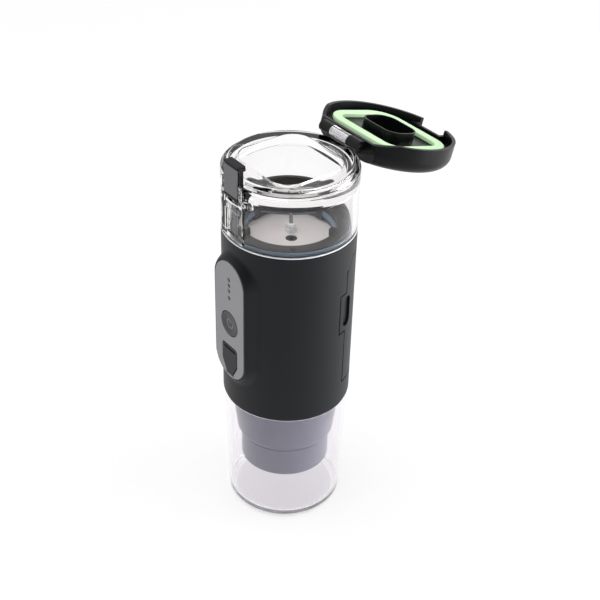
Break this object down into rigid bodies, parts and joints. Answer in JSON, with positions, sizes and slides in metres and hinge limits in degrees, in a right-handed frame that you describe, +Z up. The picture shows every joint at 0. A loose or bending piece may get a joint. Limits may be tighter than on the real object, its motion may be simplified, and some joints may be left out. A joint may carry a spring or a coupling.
{
  "type": "portable espresso maker",
  "caption": "Slim battery espresso machine with a clear flip-top water tank, front button panel, twist-on capsule holder and a clear cup that it stands on.",
  "frame": {"origin": "centre of the cup's base, on the table", "axes": "+Z up, -Y towards the control panel and latch, +Y towards the lid's hinge and battery door"},
  "size_m": [0.0728, 0.1385, 0.2295],
  "materials": {
    "clear_plastic": "clear moulded plastic, polished",
    "black_plastic": "near-black moulded plastic, fine matt grain",
    "dark_liner": "dark moulded plastic",
    "grey_panel": "mid grey satin plastic",
    "grey_holder": "cool grey moulded plastic",
    "dark_trim": "dark moulded plastic",
    "grey_rubber": "soft grey rubber",
    "mint_silicone": "pale mint silicone",
    "blue_silicone": "blue-grey silicone",
    "pale_silicone": "milky silicone",
    "red_silicone": "red-brown silicone",
    "light_lens": "milky light lens",
    "circuit_board": "green board",
    "steel_plate": "warm brushed stainless steel",
    "steel_pin": "bright steel",
    "dark_screw": "blackened steel",
    "cell_wrap": "blue shrink wrap over a steel can",
    "brass_contact": "brass"
  },
  "bodies": {
    "cup": {"drinking_cup": "clear_plastic"},
    "machine": {"body_shell": "black_plastic", "control_panel": "grey_panel", "led_lenses": "light_lens", "control_board": "circuit_board", "button_switch": "dark_trim", "charging_socket": "steel_pin", "board_screws": "dark_screw", "port_pin": "steel_pin", "brew_base": "dark_liner", "brew_head": "dark_liner", "brew_seal": "red_silicone", "piercing_plate": "steel_plate", "head_screws": "dark_screw", "battery_tray": "dark_liner", "battery_cells": "cell_wrap", "battery_contacts": "brass_contact", "pump_frame": "steel_pin", "pump_coil": "dark_trim", "pump_body": "dark_liner", "pump_mounts": "grey_rubber", "outlet_hose": "pale_silicone", "inlet_hose": "pale_silicone", "heater_pan": "dark_liner", "heater_element": "steel_pin", "heating_plate": "steel_plate", "plate_gasket": "blue_silicone", "retaining_ring": "dark_trim", "ring_screws": "dark_screw", "water_outlet": "dark_trim", "temperature_probe": "steel_plate", "probe_grommet": "pale_silicone", "tank_seal": "blue_silicone", "water_tank": "clear_plastic", "hinge_pin": "steel_pin", "latch_pin": "steel_pin", "plunger_spring": "steel_pin"},
    "lid": {"lid_shell": "black_plastic", "lid_liner": "dark_liner", "lid_gasket": "mint_silicone", "lid_vent": "pale_silicone"},
    "latch": {"latch_lever": "grey_panel"},
    "button": {"power_button": "grey_panel"},
    "port_flap": {"port_cover": "grey_rubber"},
    "door": {"battery_door": "black_plastic"},
    "basket": {"capsule_basket": "steel_plate"},
    "holder": {"capsule_holder": "grey_holder", "holder_spout": "dark_trim", "outlet_sieve": "steel_plate"},
    "plunger": {"pump_plunger": "steel_pin"}
  },
  "joints": [
    {"name": "machine_lift", "type": "slide", "parent": "cup", "child": "machine", "axis": [0, 0, 1], "range_m": [0, 0.09]},
    {"name": "lid_swing", "type": "hinge", "parent": "machine", "child": "lid", "pos_m": [0, 0.0327, 0.225], "axis": [1, 0, 0], "range_deg": [0, 195]},
    {"name": "latch_swing", "type": "hinge", "parent": "machine", "child": "latch", "pos_m": [0, -0.03505, 0.211], "axis": [1, 0, 0], "range_deg": [-4.5, 20]},
    {"name": "button_press", "type": "slide", "parent": "machine", "child": "button", "axis": [0, 1, 0], "range_m": [0, 0.0006], "stiffness_N_per_m": 800},
    {"name": "port_flap_swing", "type": "hinge", "parent": "machine", "child": "port_flap", "pos_m": [0, -0.0376, 0.1013], "axis": [1, 0, 0], "range_deg": [0, 110]},
    {"name": "door_pull", "type": "slide", "parent": "machine", "child": "door", "axis": [0, 1, 0], "range_m": [0, 0.04]},
    {"name": "holder_drop", "type": "slide", "parent": "machine", "child": "basket", "axis": [0, 0, -1], "range_m": [0, 0.005]},
    {"name": "holder_twist", "type": "hinge", "parent": "basket", "child": "holder", "pos_m": [0, 0, 0.06], "axis": [0, 0, 1], "range_deg": [0, 60]},
    {"name": "plunger_stroke", "type": "slide", "parent": "machine", "child": "plunger", "axis": [0, 0, 1], "range_m": [-0.003, 0.003], "stiffness_N_per_m": 400, "deforming": ["plunger_spring"]}
  ],
  "couplings": [
    {"joint": "holder_drop", "follows": "holder_twist", "m_per_rad": 0.0047746}
  ]
}
